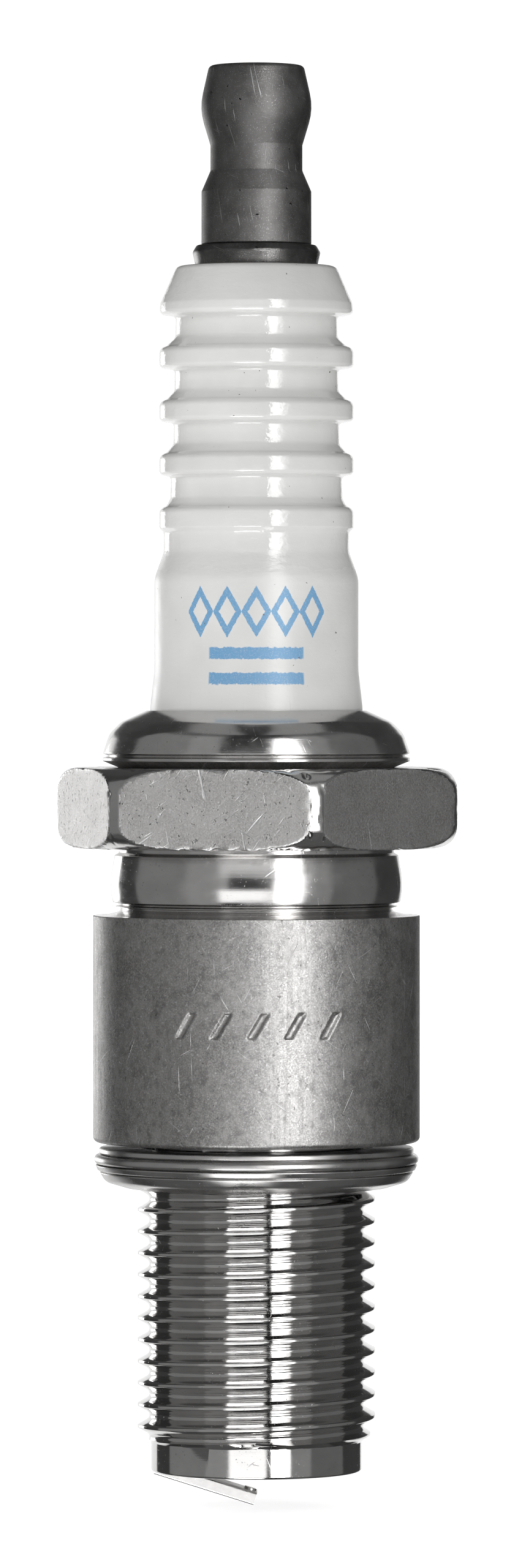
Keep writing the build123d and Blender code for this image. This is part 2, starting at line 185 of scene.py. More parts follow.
# ---------------------------------------------------------------- materials
class Graph:
    """A material's nodes, written as nested calls."""

    def __init__(self, name, **shader):
        self.material = bpy.data.materials.new(name)
        self.material.use_nodes = True
        self.tree = self.material.node_tree
        self.shader = self.tree.nodes["Principled BSDF"]
        for socket, value in shader.items():
            self.shader.inputs[socket.replace("_", " ")].default_value = value

    def feed(self, socket, value):
        if isinstance(value, bpy.types.NodeSocket):
            self.tree.links.new(value, socket)
        else:
            socket.default_value = value

    def node(self, kind, inputs=(), output=0, **settings):
        made = self.tree.nodes.new(kind)
        for key, value in settings.items():
            setattr(made, key, value)
        for key, value in dict(inputs).items():
            self.feed(made.inputs[key], value)
        return made.outputs[output]

    def math(self, operation, *values):
        return self.node("ShaderNodeMath", dict(enumerate(values)), operation=operation)

    def plus(self, a, b):
        return self.math("ADD", a, b)

    def minus(self, a, b):
        return self.math("SUBTRACT", a, b)

    def times(self, a, b):
        return self.math("MULTIPLY", a, b)

    def larger(self, a, b):
        return self.math("MAXIMUM", a, b)

    def away(self, value, middle):
        """Distance of a value from a middle one."""
        return self.math("ABSOLUTE", self.minus(value, middle))

    def place(self):
        """Position on the piece, in millimetres."""
        where = self.node("ShaderNodeTexCoord", output="Object")
        return self.node("ShaderNodeVectorMath", {0: where, 1: (1 / MM,) * 3}, operation="MULTIPLY")

    def split(self, vector):
        made = self.tree.nodes.new("ShaderNodeSeparateXYZ")
        self.tree.links.new(vector, made.inputs[0])
        return made.outputs[0], made.outputs[1], made.outputs[2]

    def unrolled(self, radius):
        """The surface rolled flat: (arc length from the front, height, 0)."""
        x, y, z = self.split(self.place())
        turn = self.math("ARCTAN2", x, self.times(y, -1.0))
        return self.node("ShaderNodeCombineXYZ", {0: self.times(turn, radius), 1: z, 2: 0.0})

    def scaled(self, vector, scale, turn=0.0):
        return self.node("ShaderNodeMapping", {
            "Vector": vector, "Rotation": (0, 0, radians(turn)), "Scale": scale}, vector_type="POINT")

    def noise(self, vector, scale, detail=2.0, rough=0.5, distortion=0.0):
        return self.node("ShaderNodeTexNoise", {
            "Vector": vector, "Scale": scale, "Detail": detail, "Roughness": rough,
            "Distortion": distortion})

    def ramp(self, value, low_end, high_end, start=0.0, end=1.0):
        return self.node("ShaderNodeMapRange", {
            "Value": value, "From Min": low_end, "From Max": high_end, "To Min": start, "To Max": end})

    def spots(self, vector, scale, detail, rough, least, most, distortion=0.0):
        """Noise cut off between two levels, which leaves separate spots."""
        return self.ramp(self.noise(vector, scale, detail, rough, distortion), least, most)

    def mix(self, factor, a, b):
        made = self.tree.nodes.new("ShaderNodeMix")
        made.data_type = "RGBA"
        for number, value in ((0, factor), (6, a), (7, b)):
            self.feed(made.inputs[number], value)
        return made.outputs[2]

    def scratches(self, vector, layers, least=0.70):
        """Thin straight scratches: stretched noise, cut off high, in layers of (angle, density)."""
        total = None
        for index, (turn, density) in enumerate(layers):
            shift = (3.7 * index + 1.3, 5.1 * index, 2.3 * index)
            moved = self.node("ShaderNodeVectorMath", {0: vector, 1: shift}, operation="ADD")
            stretched = self.scaled(self.scaled(moved, (1, 1, 1), turn), (0.5, 11, 1))
            line = self.ramp(self.noise(stretched, density, 1.0), least, least + 0.05)
            line = self.times(line, self.ramp(self.noise(moved, 0.45, 1.0), 0.5, 0.6))
            total = line if total is None else self.larger(total, line)
        return total

    def bump(self, height, depth):
        """depth is the height of a full-scale bump, in millimetres."""
        return self.node("ShaderNodeBump", {"Height": height, "Distance": depth * MM, "Strength": 1.0})

    def use(self, **sockets):
        for socket, value in sockets.items():
            self.tree.links.new(value, self.shader.inputs[socket.replace("_", " ")])
        return self.material


def grey(level, warm=0.0):
    """A grey, made a little warmer by raising its red and lowering its blue."""
    return (level * (1 + warm), level, level * (1 - warm), 1)


def tinted(tint, share=1.0):
    """A colour at a share of its brightness."""
    return tuple(min(1.0, c * share) for c in tint) + (1,)


def bright_plate(name, radius, base, rough, grain):
    """Nickel plate on a turned surface: faint turning lines, dust, small pits."""
    g = Graph(name, Metallic=1.0)
    flat = g.unrolled(radius)
    lines = g.noise(g.scaled(flat, (0.05, 16, 1)), 1.0, 4.0, 0.6)
    smear = g.noise(g.scaled(flat, (1, 1.6, 1)), 0.35, 3.0, 0.6)
    pits = g.spots(g.place(), 9.0, 2.0, 0.5, 0.70, 0.76)
    dust = g.spots(g.place(), 4.3, 4.0, 0.6, 0.69, 0.74)
    hair = g.scratches(flat, ((12, 1.1), (-35, 0.8), (70, 0.9)), 0.74)
    colour = g.mix(g.ramp(smear, 0.35, 0.7), grey(base * 0.86, 0.01), grey(base, 0.012))
    colour = g.mix(pits, colour, grey(base * 0.45))
    colour = g.mix(g.times(dust, 0.5), colour, grey(min(1.0, base * 1.25)))
    smeared = g.ramp(smear, 0.3, 0.75, rough * 0.7, rough * 1.7)
    roughness = g.plus(smeared, g.times(g.larger(dust, hair), 0.25))
    height = g.minus(g.times(lines, 0.8), g.times(pits, 1.5))
    height = g.minus(height, g.times(hair, 1.2))
    return g.use(Base_Color=colour, Roughness=roughness, Normal=g.bump(height, grain))


def satin_steel(radius):
    """The collar: tumbled plate, satin, with fine speckle, short scratches and stained patches."""
    g = Graph("collar_satin", Metallic=1.0)
    flat = g.unrolled(radius)
    grain = g.noise(g.place(), 11.0, 4.0, 0.7)
    cloud = g.noise(g.place(), 0.42, 6.0, 0.68)
    mottle = g.noise(g.scaled(flat, (1, 0.8, 1)), 2.2, 5.0, 0.72)
    stain = g.spots(g.scaled(flat, (1, 0.6, 1)), 0.7, 6.0, 0.75, 0.55, 0.70)
    upright = g.noise(g.scaled(flat, (7.0, 0.14, 1)), 1.0, 3.0, 0.6)
    marks = g.scratches(flat, ((60, 0.6), (-28, 0.5), (35, 0.7), (88, 0.5), (-62, 0.6)), 0.715)
    pits = g.spots(g.place(), 3.4, 3.0, 0.6, 0.65, 0.71)
    flecks = g.spots(g.place(), 6.5, 2.0, 0.6, 0.64, 0.70)
    colour = g.mix(g.ramp(cloud, 0.35, 0.66), grey(0.29, 0.02), grey(0.47, 0.015))
    colour = g.mix(g.ramp(grain, 0.42, 0.64), colour, grey(0.60, 0.01))
    colour = g.mix(g.ramp(mottle, 0.48, 0.64, 0.0, 0.6), colour, grey(0.25, 0.02))
    colour = g.mix(g.times(stain, 0.6), colour, grey(0.14, 0.03))
    colour = g.mix(g.times(pits, 0.6), colour, grey(0.10, 0.03))
    colour = g.mix(g.times(g.larger(marks, flecks), 0.6), colour, grey(0.85))
    roughness = g.plus(g.ramp(cloud, 0.3, 0.7, 0.42, 0.52), g.ramp(upright, 0.35, 0.7, -0.03, 0.06))
    height = g.plus(g.times(grain, 1.0), g.times(upright, 0.35))
    height = g.minus(height, g.times(marks, 1.1))
    height = g.minus(height, g.times(pits, 0.6))
    return g.use(Base_Color=colour, Roughness=roughness, Normal=g.bump(height, 0.009))


def hexagon_steel(radius):
    """The hexagon's flats: pitted, scratched by wrenches, burnished where the mesh says it's worn."""
    g = Graph("hexagon_flats", Metallic=1.0)
    place = g.place()
    worn = g.node("ShaderNodeAttribute", output="Fac", attribute_name="wear")
    flat = g.unrolled(radius)
    grain = g.noise(place, 10.0, 4.0, 0.7)
    cloud = g.noise(place, 0.5, 4.0, 0.6)
    pits = g.spots(place, 4.2, 3.0, 0.6, 0.61, 0.69)
    flecks = g.spots(g.scaled(place, (1.4, 1.4, 0.8)), 3.9, 3.0, 0.6, 0.66, 0.70, 0.6)
    marks = g.scratches(flat, ((-48, 0.5), (-36, 0.6), (-58, 0.45), (80, 0.5), (30, 0.6)), 0.69)
    used = g.ramp(g.split(place)[0], 3.2, 3.7, 1.0, 0.25)  # the flats at +X are less marked
    marks, pits, flecks = [g.times(each, used) for each in (marks, pits, flecks)]
    broken = g.times(worn, g.spots(place, 2.4, 4.0, 0.65, 0.45, 0.55))
    colour = g.mix(g.ramp(cloud, 0.35, 0.66), grey(0.44, 0.02), grey(0.58, 0.015))
    colour = g.mix(g.ramp(grain, 0.40, 0.64), colour, grey(0.70, 0.01))
    colour = g.mix(g.times(pits, 0.75), colour, grey(0.13, 0.02))
    bright = g.larger(g.larger(g.times(flecks, 0.7), marks), broken)
    colour = g.mix(bright, colour, grey(0.93))
    roughness = g.minus(g.ramp(grain, 0.35, 0.7, 0.36, 0.5), g.times(broken, 0.12))
    height = g.minus(g.times(grain, 1.2), g.times(pits, 1.3))
    height = g.minus(height, g.times(marks, 1.4))
    height = g.plus(height, g.times(broken, 0.8))
    return g.use(Base_Color=colour, Roughness=roughness, Normal=g.bump(height, 0.016))


TERMINAL_R = 3.1  # radius that the terminal's surface is unrolled at


def terminal_steel(name, base, rough):
    """Dark phosphated steel: fine sparkle, a few long scratches, small pits."""
    g = Graph(name, Metallic=1.0)
    place = g.place()
    flat = g.unrolled(TERMINAL_R)
    grain = g.noise(place, 12.0, 3.0, 0.7)
    cloud = g.noise(place, 0.8, 4.0, 0.65)
    turned = g.noise(g.scaled(flat, (0.08, 9, 1)), 1.0, 3.0, 0.6)
    spark = g.spots(place, 16.0, 1.0, 0.5, 0.62, 0.72)
    pits = g.spots(place, 2.6, 2.0, 0.5, 0.72, 0.75)
    marks = g.scratches(flat, ((86, 0.8), (78, 0.6), (20, 1.3)), 0.70)
    colour = g.mix(g.ramp(cloud, 0.35, 0.7), grey(base * 0.72, 0.02), grey(base * 1.15, 0.015))
    colour = g.mix(g.times(spark, 0.55), colour, grey(base * 2.2, 0.01))
    colour = g.mix(pits, colour, grey(0.02))
    colour = g.mix(g.times(marks, 0.6), colour, grey(min(1, base * 3.2)))
    roughness = g.plus(g.ramp(cloud, 0.3, 0.7, rough - 0.05, rough + 0.06), g.times(spark, -0.08))
    height = g.plus(grain, g.times(turned, 0.5))
    height = g.minus(height, g.times(marks, 1.0))
    return g.use(Base_Color=colour, Roughness=roughness, Normal=g.bump(height, 0.010))


PRINT_BLUE = (0.105, 0.335, 0.600, 1)
PRINT_R = 5.9  # radius of the printed barrel
DIAMOND_HALF_WIDE, DIAMOND_HALF_TALL = 0.85, 1.45
CHAIN_Z, CHAIN_HALF = 30.55, 4.20
RULES_Z, RULES_APART, RULE_THICK, RULE_HALF = 27.45, 1.44, 0.60, 2.75


def blue_print(g, place, flat):
    """Where the generic print is: a chain of hollow diamonds over two rules, on the front. It says
    nothing and stands for no name."""
    u, v, _ = g.split(flat)
    wobble = g.ramp(g.noise(flat, 5.0, 2.0), 0.3, 0.7, -0.05, 0.05)
    across = g.math("PINGPONG", g.plus(u, 20 * DIAMOND_HALF_WIDE), DIAMOND_HALF_WIDE)
    tall = g.math("DIVIDE", g.away(v, CHAIN_Z), DIAMOND_HALF_TALL)
    ring = g.away(g.plus(g.math("DIVIDE", across, DIAMOND_HALF_WIDE), tall), 0.80)
    ring = g.plus(ring, g.times(wobble, 0.6))
    chain = g.ramp(ring, 0.20, 0.24, 1.0, 0.0)
    sideways = g.math("ABSOLUTE", u)
    chain = g.times(chain, g.ramp(sideways, CHAIN_HALF, CHAIN_HALF + 0.05, 1.0, 0.0))
    step = g.away(g.away(v, RULES_Z), RULES_APART / 2)
    rules = g.ramp(g.plus(step, wobble), RULE_THICK / 2, RULE_THICK / 2 + 0.06, 1.0, 0.0)
    rules = g.times(rules, g.ramp(sideways, RULE_HALF, RULE_HALF + 0.10, 1.0, 0.0))
    patchy = g.ramp(g.noise(place, 14.0, 2.0, 0.6), 0.30, 0.48, 0.72, 1.0)
    ink = g.times(g.larger(chain, rules), patchy)
    front = g.ramp(g.split(place)[1], -1.0, -1.2)
    return g.times(g.times(ink, front), 0.92)


def glazed_ceramic():
    """White glaze: faint ripples, specks, metal rubbed off above the crimp, and the blue print."""
    g = Graph("glazed_alumina", IOR=1.56, Coat_Weight=0.0)
    place = g.place()
    flat = g.unrolled(PRINT_R)
    v = g.split(flat)[1]
    ink = blue_print(g, place, flat)
    specks = g.spots(place, 3.6, 1.0, 0.5, 0.785, 0.80)
    rubbed = g.spots(g.scaled(flat, (6.0, 0.35, 1)), 1.2, 3.0, 0.6, 0.62, 0.80)
    rubbed = g.times(rubbed, g.ramp(v, 26.5, 24.4, 0.0, 0.55))
    tone = g.noise(place, 0.22, 3.0, 0.5)
    colour = g.mix(g.ramp(tone, 0.35, 0.65), (0.70, 0.70, 0.685, 1), (0.77, 0.77, 0.76, 1))
    colour = g.mix(rubbed, colour, (0.42, 0.42, 0.41, 1))
    colour = g.mix(ink, colour, PRINT_BLUE)
    colour = g.mix(g.times(specks, 0.8), colour, (0.12, 0.11, 0.10, 1))
    ripple = g.noise(g.scaled(flat, (0.8, 2.2, 1)), 0.9, 3.0, 0.55)
    roughness = g.plus(g.ramp(ripple, 0.3, 0.7, 0.05, 0.11), g.times(ink, 0.08))
    roughness = g.plus(roughness, g.ramp(v, 34.2, 32.6, 0.0, 0.26))  # the barrel is duller than the ribs
    roughness = g.plus(roughness, g.times(rubbed, 0.25))
    dimples = g.noise(g.scaled(flat, (1.5, 2.6, 1)), 1.0, 3.0, 0.6)
    height = g.plus(ripple, g.times(dimples, 1.6))
    return g.use(Base_Color=colour, Roughness=roughness, Normal=g.bump(height, 0.014))


def plain_metal(name, tint, rough, scale, depth, spread=0.15):
    """Small metal pieces: cloudy colour, fine grain."""
    g = Graph(name, Metallic=1.0)
    place = g.place()
    grain = g.noise(place, scale, 3.0, 0.6)
    cloud = g.noise(place, scale * 0.12, 3.0, 0.6)
    colour = g.mix(g.ramp(cloud, 0.35, 0.65), tinted(tint, 1 - spread), tinted(tint, 1 + spread))
    roughness = g.ramp(grain, 0.3, 0.7, rough * 0.8, rough * 1.2)
    return g.use(Base_Color=colour, Roughness=roughness, Normal=g.bump(grain, depth))


def mineral(name, tint, rough, scale):
    """Glass seal, resistor mass and talc: grainy and dull."""
    g = Graph(name)
    place = g.place()
    grain = g.noise(place, scale, 4.0, 0.65)
    flecks = g.spots(place, scale * 1.7, 1.0, 0.5, 0.62, 0.68)
    colour = g.mix(g.ramp(grain, 0.35, 0.65), tinted(tint, 0.7), tinted(tint))
    colour = g.mix(g.times(flecks, 0.5), colour, (0.6, 0.6, 0.58, 1))
    roughness = g.ramp(grain, 0.3, 0.7, rough, min(1.0, rough + 0.2))
    return g.use(Base_Color=colour, Roughness=roughness, Normal=g.bump(grain, 0.02))


# ---------------------------------------------------------------- terminal nut
NUT_BORE_R, NUT_BORE_TOP = 2.02, 60.9
NUT_BULB_R, NUT_WAIST_R, NUT_SKIRT_R = 3.283, 2.65, 3.17

nut_base, nut_top = lowest("terminal_nut"), highest("terminal_nut")
nut_profile = rounded([
    (0.0, nut_top),
    (2.2, nut_top - 0.02, 0.3),
    (2.73, nut_top - 0.07, 0.32),
    (NUT_BULB_R, 59.56, 3.36),
    (NUT_WAIST_R, 57.45, 0.06),
    (NUT_WAIST_R, 55.98, 0.35),
    (NUT_SKIRT_R - 0.005, 54.78, 0.12),
    (NUT_SKIRT_R, nut_base, 0.08),
    (NUT_BORE_R + 0.3, nut_base, 0.03),
    (NUT_BORE_R, nut_base + 0.3, 0.05),
    (NUT_BORE_R, NUT_BORE_TOP, 0.1),
    (0.0, NUT_BORE_TOP + 0.5),
])
nut = mesh_from_rows("terminal_nut_turned", "terminal_nut",
                     around(nut_profile, even_angles(192)),
                     [terminal_steel("terminal_dark_steel", 0.21, 0.52)], sharp=38, closed=False)
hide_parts("terminal_nut")

# ---------------------------------------------------------------- insulator
RIB_R = 5.6
RIB_SPACING = 3.075
RIB_GAP = 1.98
HEAD_UNDERSIDE = 47.7
GROOVE_RADII = [4.65, 4.70, 4.76, 4.93]
NECK_TOP_R, BARREL_R, BARREL_FOOT_R = 5.34, 5.88, 6.12
SHOULDER_R, CORE_R = 7.25, 5.05
STUD_BORE_R, ELECTRODE_BORE_R, BORE_STEP_Z = 2.0, 1.3, 1.0
NOSE_Z = -17.4

rib_corners = []
for number, groove_r in enumerate(GROOVE_RADII):
    underside = HEAD_UNDERSIDE - number * RIB_SPACING
    next_top = underside - RIB_GAP
    rib_corners += [
        (RIB_R, underside, 0.28),
        (groove_r, underside - 0.13, 0.22),
        (groove_r + 0.03, next_top + 0.62, 0.5),
        (RIB_R - 0.42, next_top + 0.17, 0.4),
        (RIB_R, next_top, 0.4),
    ]
last_underside = HEAD_UNDERSIDE - len(GROOVE_RADII) * RIB_SPACING
insulator_profile = rounded([
    (STUD_BORE_R, highest("insulator"), 0.1),
    (4.6, highest("insulator"), 0.45),
    (RIB_R - 0.06, 48.35, 0.5),
    *rib_corners,
    (RIB_R, last_underside, 0.18),
    (NECK_TOP_R, last_underside - 0.28, 0.3),
    (NECK_TOP_R, 34.0, 1.6),
    (BARREL_R, 32.5, 1.8),
    (BARREL_R, 27.2, 6),
    (BARREL_FOOT_R, 25.1, 1.5),
    (BARREL_FOOT_R, 19.9, 0.15),
    (SHOULDER_R, 19.35, 0.25),
    (SHOULDER_R, 10.6, 0.3),
    (CORE_R, 8.3, 0.3),
    (CORE_R, -8.69, 0.05),
    (3.7, -9.46, 0.2),
    (3.55, -11.6, 0.5),
    (2.35, NOSE_Z, 0.3),
    (ELECTRODE_BORE_R, NOSE_Z, 0.1),
    (ELECTRODE_BORE_R, BORE_STEP_Z),
    (STUD_BORE_R, BORE_STEP_Z, 0.1),
], closed=True)
insulator = mesh_from_rows("insulator_glazed", "plug",
                           around(insulator_profile, even_angles(256)), [glazed_ceramic()], sharp=40)
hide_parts("insulator")

# ---------------------------------------------------------------- shell above the thread
COLLAR_R, COLLAR_TOP, COLLAR_SATIN_R = 9.43, 13.07, 8.7
CRIMP_R, CRIMP_LIP_R, RIM_BOTTOM = 8.86, 6.2, 22.0
BUCKLE_R = 8.49
BORE_R, LOWER_BORE_R = 7.33, 5.13
SOCKET_R, SOCKET_TOP = 6.3, 0.5  # where the threaded piece's neck goes in
HEX_HALF, HEX_CORNER_R, HEX_ROOT_R = 10.4, 11.8, 7.95
HEX_BOTTOM, HEX_TOP = 16.95, 21.6
HEX_TURN = -73.4
ROUND_UP = 1.45  # where the corners' rounding starts, from the hexagon's ends
SHOULDER_UP = 0.48  # where its two arcs meet
UPPER_ARC, LOWER_ARC = 1.376, 1.63  # their radii
LOWER_ARC_R, LOWER_ARC_UP = 10.244, 1.6287  # the lower arc's centre
SLASHES, SLASH_STEP, SLASH_FIRST = 5, 13.0, -115.4
SLASH_Z, SLASH_HALF, SLASH_WIDE, SLASH_DEEP = 7.0, 0.68, 0.15, 0.15
SLASH_LEAN = radians(31)
LIP_AWAY, LIP_HIGH = 0.13, 0.018  # the metal pushed up round a stroke
STROKE_ROWS, STROKE_ROW_STEP = 23, 0.085

above_hex = rounded([
    (CRIMP_LIP_R, 24.35),
    (CRIMP_LIP_R, 24.94, 0.12),
    (7.8, 24.22, 1.0),
    (8.48, 23.55, 1.2),
    (CRIMP_R, 22.4, 0.08),
    (8.50, 22.27, 0.03),
    (CRIMP_R, 22.16, 0.05),
    (CRIMP_R, 21.98, 0.06),
    (HEX_ROOT_R, HEX_TOP),
])[:-1]
below_hex = rounded([
    (HEX_ROOT_R, HEX_BOTTOM),
    (HEX_ROOT_R, 16.68, 0.1),
    (8.2, 16.55, 0.08),
    (BUCKLE_R, 14.75, 4.0),
    (8.31, 13.84, 0.06),
    (7.72, 13.72, 0.02),
    (8.22, 13.6, 0.02),
    (7.8, 13.5, 0.05),
    (7.95, 13.3, 0.15),
    (8.75, COLLAR_TOP + 0.03, 0.1),
    (COLLAR_R, COLLAR_TOP, 0.06),
    (COLLAR_R, 8.05),
    *[(COLLAR_R, 7.95 - STROKE_ROW_STEP * k) for k in range(STROKE_ROWS)],
    (COLLAR_R, 5.9),
    (COLLAR_R, 0.0, 0.32),
    (SOCKET_R, 0.0),
    (SOCKET_R, SOCKET_TOP),
    (LOWER_BORE_R, SOCKET_TOP),
    (LOWER_BORE_R, 7.4),
    (BORE_R, 9.6),
    (BORE_R, 23.4),
    (6.95, 23.95),
])[1:]

COLUMN_STEP, FINE_STEP, CLOSEST = 2.4, 0.5, 0.3  # degrees between the columns
CORNER_REACH = 4.5  # how far the fine columns go on each side of a corner
STROKES_FROM, STROKES_TO = -123.5, -58


def column_angles():
    """Columns of the shell's mesh: even, and closer together at the corners and the strokes."""
    marks = list(np.arange(0, 360, COLUMN_STEP))
    for corner in range(6):
        near = np.arange(-CORNER_REACH, CORNER_REACH + 0.01, FINE_STEP)
        marks += list(HEX_TURN + 60 * corner + near)
    marks += list(np.arange(STROKES_FROM, STROKES_TO, FINE_STEP))
    marks = np.sort(np.mod(marks, 360))
    keep = [marks[0]]
    for mark in marks[1:]:
        if mark - keep[-1] > CLOSEST:
            keep.append(mark)
    return np.radians(keep)


angles = column_angles()
from_face = np.mod(np.degrees(angles) - HEX_TURN, 60) - 30
flat_r = HEX_HALF / np.cos(np.radians(from_face))

# The hexagon's rows, from the inner edge of its top to the inner edge of its underside: on the two
# ends, (share of the way out, height), and on the outside, (inset, height)
EDGE_INSETS = ((0.07, 0.0), (0.03, 0.012), (0.008, 0.04))  # (inset, distance from the end)
END_SHARES = (0.0, 0.35, 0.7, 0.9)
ROW_STEP, MIDDLE_ROWS = 0.08, 12
CREASE_BLEND, WORN_END = 0.05, 0.13  # widths of a softened corner edge and of a worn end
heights = list(np.arange(HEX_TOP - ROW_STEP, HEX_TOP - ROUND_UP, -ROW_STEP))
heights += list(np.linspace(HEX_TOP - ROUND_UP - 0.05, HEX_BOTTOM + ROUND_UP + 0.05, MIDDLE_ROWS))
heights += list(np.arange(HEX_BOTTOM + ROUND_UP - 0.02, HEX_BOTTOM + 0.06, -ROW_STEP))
hex_rows = [("end", share, HEX_TOP) for share in END_SHARES]
hex_rows += [("side", inset, HEX_TOP - drop) for inset, drop in EDGE_INSETS]
hex_rows += [("side", 0.0, height) for height in heights]
hex_rows += [("side", inset, HEX_BOTTOM + drop) for inset, drop in reversed(EDGE_INSETS)]
hex_rows += [("end", share, HEX_BOTTOM) for share in reversed(END_SHARES)]


def turned_r(near):
    """Radius that the corners are turned down to, at a distance from the hexagon's nearer end."""
    if near >= ROUND_UP:
        return HEX_CORNER_R
    if near >= SHOULDER_UP:
        return HEX_CORNER_R - UPPER_ARC + np.sqrt(UPPER_ARC**2 - (ROUND_UP - near) ** 2)
    return LOWER_ARC_R + np.sqrt(max(0.0, LOWER_ARC**2 - (LOWER_ARC_UP - near) ** 2))


hex_r, hex_z, hex_wear, hex_flat, hex_reach = [], [], [], [], []
for kind, amount, height in hex_rows:
    near = min(HEX_TOP - height, height - HEX_BOTTOM)
    turned = turned_r(near)
    edge = soft_min(flat_r, turned + 0 * flat_r, CREASE_BLEND)
    if kind == "end":
        hex_r.append(HEX_ROOT_R + (edge - HEX_ROOT_R) * amount)
        hex_wear.append(0 * flat_r)
        hex_flat.append(np.zeros(len(angles), bool))
        hex_reach.append([0.4 if amount > 0.8 else 0.0])
    else:
        crease = np.exp(-np.abs(flat_r - turned) / CREASE_BLEND)
        hex_r.append(edge - amount)
        hex_wear.append(np.maximum(crease, np.exp(-near / WORN_END)))
        hex_flat.append(flat_r < turned - 0.02)
        hex_reach.append([1.0])
    hex_z.append(0 * flat_r + height)
hex_r, hex_z, hex_wear = np.array(hex_r), np.array(hex_z), np.array(hex_wear)
hex_flat, hex_reach = np.array(hex_flat), np.array(hex_reach)


def press(at, height, wide, tall, deep, lift=0.0):
    """A dent, or with a negative depth a burr, at an angle in degrees and a height."""
    across = signed_turn(angles, radians(at)) * HEX_HALF / wide
    spot = np.exp(-(across ** 2)[None, :] - ((hex_z - height) / tall) ** 2) * hex_reach
    hex_r[:] -= deep * spot
    hex_z[:] += lift * spot
    hex_wear[:] = np.maximum(hex_wear, np.abs(spot) * min(1.0, abs(deep) * 6))


# Nicks along the bottom and top edges. The first ones go to the front, where a socket has slipped.
NICKS, FRONT_NICKS, CORNER_DENTS = 110, 45, 54
rng = np.random.RandomState(11)
for number in range(NICKS):
    at = rng.uniform(-132, -45) if number < FRONT_NICKS else rng.uniform(-180, 180)
    bottom = rng.rand() < 0.68
    deep = rng.uniform(0.04, 0.16) * (1 if rng.rand() < 0.72 else -0.4)
    lift = rng.uniform(0.0, 0.12) * (1 if bottom else -1)
    wide, tall = rng.uniform(0.08, 0.34), rng.uniform(0.07, 0.2)
    press(at, HEX_BOTTOM if bottom else HEX_TOP, wide, tall, deep, lift)
for number in range(CORNER_DENTS):
    beside = 1.8 if rng.rand() < 0.5 else -1.8
    at = HEX_TURN + 60 * (number % 6) + beside + rng.uniform(-0.4, 0.4)
    height = rng.uniform(HEX_BOTTOM + 0.3, HEX_TOP - 0.3)
    press(at, height, rng.uniform(0.05, 0.14), rng.uniform(0.06, 0.25), rng.uniform(0.02, 0.07))
press(-84.3, HEX_BOTTOM, 0.30, 0.16, 0.34, 0.16)  # the deepest nick
press(-82.6, HEX_BOTTOM + 0.05, 0.16, 0.10, -0.07)  # metal pushed up beside it
press(-75.6, HEX_TOP - 0.42, 0.15, 0.15, 0.16)  # a round dint at the top of the front corner

rows = [np.stack([r + 0 * angles, z + 0 * angles]) for r, z in above_hex]
hex_start = len(rows)
rows += [np.stack([r, z]) for r, z in zip(hex_r, hex_z)]
hex_end = len(rows)
rows += [np.stack([r + 0 * angles, z + 0 * angles]) for r, z in below_hex]
rows = np.array(rows)

on_collar = np.abs(rows[:, 0] - COLLAR_R) < 1e-6
up = rows[:, 1] - SLASH_Z
stroke_depth = np.zeros((len(rows), len(angles)))
for number in range(SLASHES):
    middle = radians(SLASH_FIRST + SLASH_STEP * number)
    across = COLLAR_R * signed_turn(angles, middle)[None, :] + 0 * up
    side = np.abs(across * cos(SLASH_LEAN) - up * sin(SLASH_LEAN))
    inside = smooth_step(1 - (side - SLASH_WIDE + 0.02) / 0.10)
    inside = inside * smooth_step(1 - (np.abs(up) - SLASH_HALF + 0.04) / 0.12)
    lip = smooth_step(1 - np.abs(side - SLASH_WIDE - LIP_AWAY) / 0.10)
    lip = lip * smooth_step(1 - (np.abs(up) - SLASH_HALF) / 0.2)
    stroke_depth += (inside * SLASH_DEEP - lip * LIP_HIGH) * on_collar
rows[:, 0] -= stroke_depth

PLATE, SATIN, FLATS = 0, 1, 2
shell_materials = [bright_plate("shell_bright_plate", radius=8.5, base=0.64, rough=0.15, grain=0.0028),
                   satin_steel(COLLAR_R), hexagon_steel(radius=10.6)]
grid = np.stack([rows[:, 0] * np.cos(angles), rows[:, 0] * np.sin(angles), rows[:, 1]], axis=-1)
wear = np.zeros(grid.shape[:2])
wear[hex_start:hex_end] = hex_wear
mean_r, mean_z = rows.mean(axis=2).T
row = np.arange(len(rows))
under_rim = (row < hex_start) & (mean_z < RIM_BOTTOM)
outer_collar = (row >= hex_end) & (mean_r > COLLAR_SATIN_R) & (mean_z < COLLAR_TOP + 0.01)
face_material = np.full(grid.shape[:2], PLATE)
face_material[under_rim | outer_collar] = SATIN
face_material[hex_start:hex_end] = np.where(hex_flat, FLATS, PLATE)
shell_head = mesh_from_rows("shell_head_turned", "plug", grid, shell_materials,
                            sharp=50, face_material=face_material, wear=wear)
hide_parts("metal_shell")

# ---------------------------------------------------------------- shell thread and pilot
THREAD_R = 6.875
PITCH = 1.25
THREAD_DEPTH = 0.69
THREAD_PHASE = -3.9
NECK_R, PILOT_R, MOUTH_R, LEDGE_R = 6.12, 6.08, 4.4, 3.85
NECK_TOP = 0.35  # it goes this far into the collar
TOP_CHAMFER, BOTTOM_CHAMFER = -2.34, -17.25  # where the thread's chamfers start
FLANK = tan(radians(30))
APEX_R = THREAD_R - PITCH * 7 / 16 / FLANK
ROOT_ROUND = THREAD_R - APEX_R - THREAD_DEPTH
HALF_FORM = (0.0, 0.075, 0.15, 0.2226, 0.38, 0.535, 0.565, 0.592)  # rows from root to crest
OFFSETS = [-PITCH / 2] + [-away for away in reversed(HALF_FORM[1:])] + list(HALF_FORM)
HELIX_LOW, HELIX_HIGH = -17.3, -2.2
INNER_JOIN = -1.2  # where the bore's upper and lower sheets meet
shell_end = lowest("metal_shell")
thread_angles = even_angles(240)


